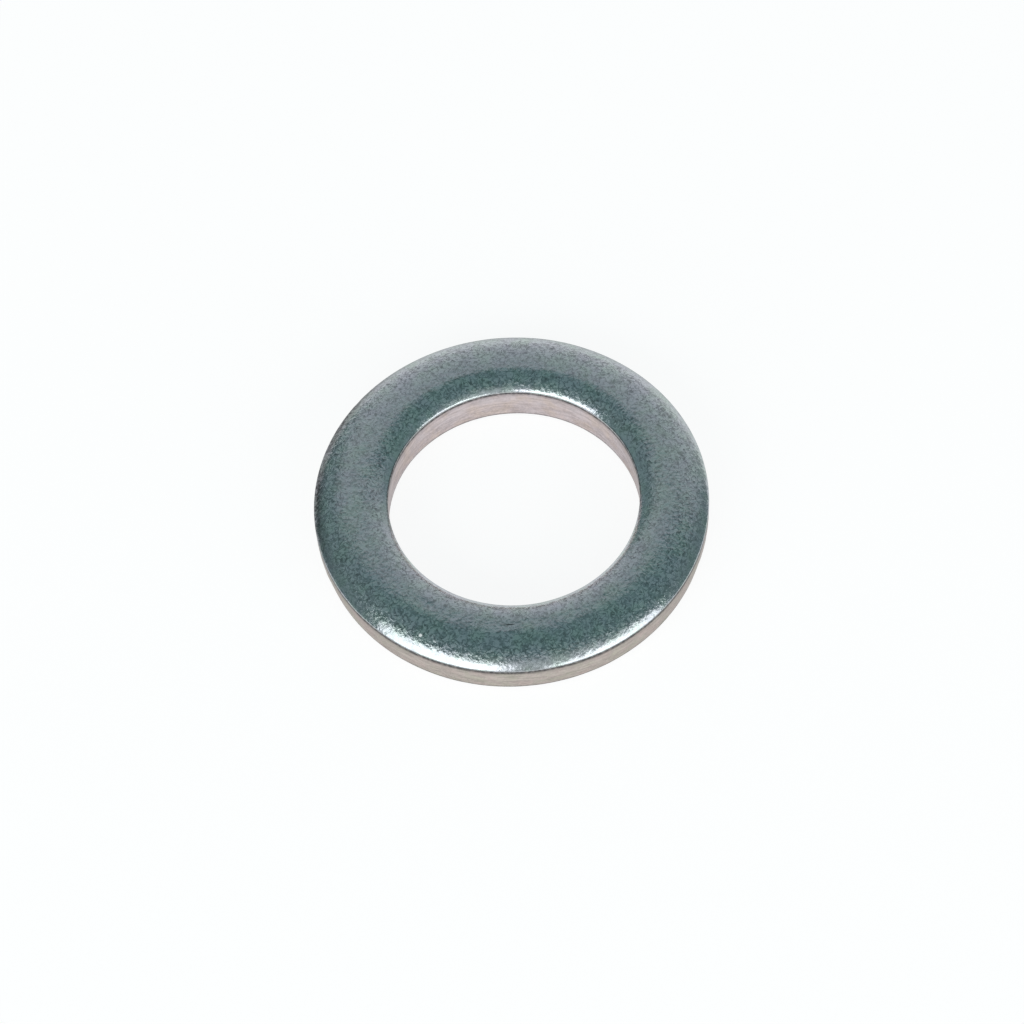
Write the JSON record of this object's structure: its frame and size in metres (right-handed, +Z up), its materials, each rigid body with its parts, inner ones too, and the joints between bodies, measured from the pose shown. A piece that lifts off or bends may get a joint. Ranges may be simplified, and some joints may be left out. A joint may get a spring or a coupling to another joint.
{
  "type": "flat washer",
  "caption": "Heavy round flat washer, blanked from steel strip and zinc plated, with rounded drawn-down top edges, for a clevis pin or bolt.",
  "frame": {"origin": "middle of the outside edge, on the bottom face that the washer lies on", "axes": "+Z up through the hole, towards the face with the drawn-down edges; +X across the ring, near the way that the hole's middle lies from the rim's middle"},
  "size_m": [0.022, 0.022, 0.003],
  "materials": {
    "zinc_plated_steel": "electroplated zinc with a clear blue passivate, satin, over the dull surface of rolled strip"
  },
  "bodies": {
    "root": {"washer": "zinc_plated_steel"}
  },
  "joints": []
}
